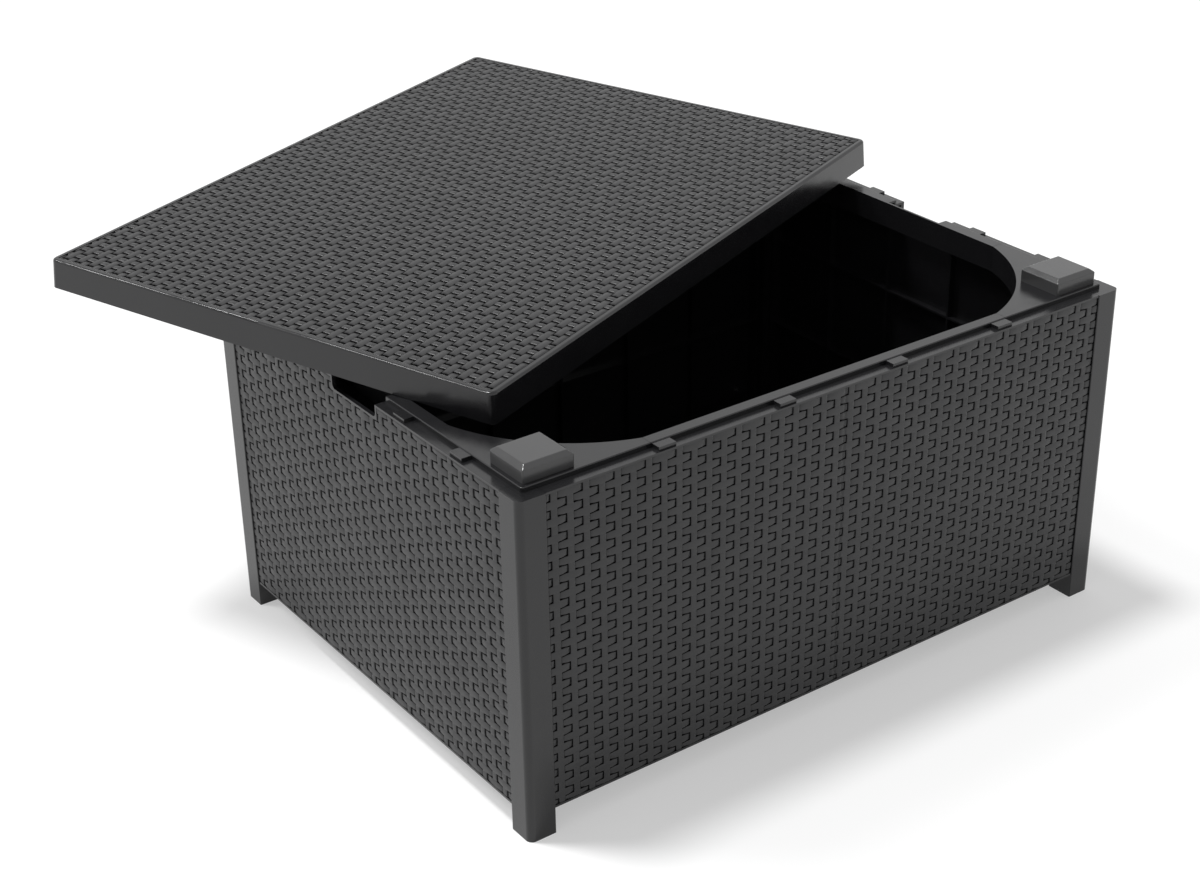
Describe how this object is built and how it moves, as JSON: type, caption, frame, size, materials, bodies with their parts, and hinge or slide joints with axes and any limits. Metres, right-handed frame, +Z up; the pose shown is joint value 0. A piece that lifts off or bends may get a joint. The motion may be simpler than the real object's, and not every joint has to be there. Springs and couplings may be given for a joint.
{
  "type": "storage coffee table",
  "caption": "Rectangular outdoor coffee table in wicker-look resin: an open storage box on four square posts with a loose lid lying askew on it.",
  "frame": {"origin": "on the floor, under the middle of the box's plan (the four posts); the lid lies askew, so this isn't the middle of the whole part", "axes": "+Z up, X along the box's long sides with +X to the right, +Y towards the back"},
  "size_m": [0.9354, 0.9588, 0.4432],
  "materials": {
    "moulded_resin": "dark graphite moulded resin with a fine satin grain",
    "cap_resin": "the same graphite resin, smoother and a little glossier"
  },
  "bodies": {
    "box": {"post_back_right": "moulded_resin", "post_back_left": "moulded_resin", "post_front_right": "moulded_resin", "post_front_left": "moulded_resin", "panel_front": "moulded_resin", "panel_back": "moulded_resin", "panel_left": "moulded_resin", "panel_right": "moulded_resin", "rim_rail_front": "moulded_resin", "rim_rail_back": "moulded_resin", "rim_rail_left": "moulded_resin", "rim_rail_right": "moulded_resin", "rim_corner_back_right": "moulded_resin", "rim_corner_back_left": "moulded_resin", "rim_corner_front_right": "moulded_resin", "rim_corner_front_left": "moulded_resin", "corner_cap_back_right": "cap_resin", "corner_cap_back_left": "cap_resin", "corner_cap_front_right": "cap_resin", "corner_cap_front_left": "cap_resin", "floor_panel": "moulded_resin"},
    "lid": {"lid": "moulded_resin"}
  },
  "joints": [
    {"name": "lid_lift", "type": "slide", "parent": "box", "child": "lid", "axis": [0, 0, 1], "range_m": [0, 0.3]}
  ]
}
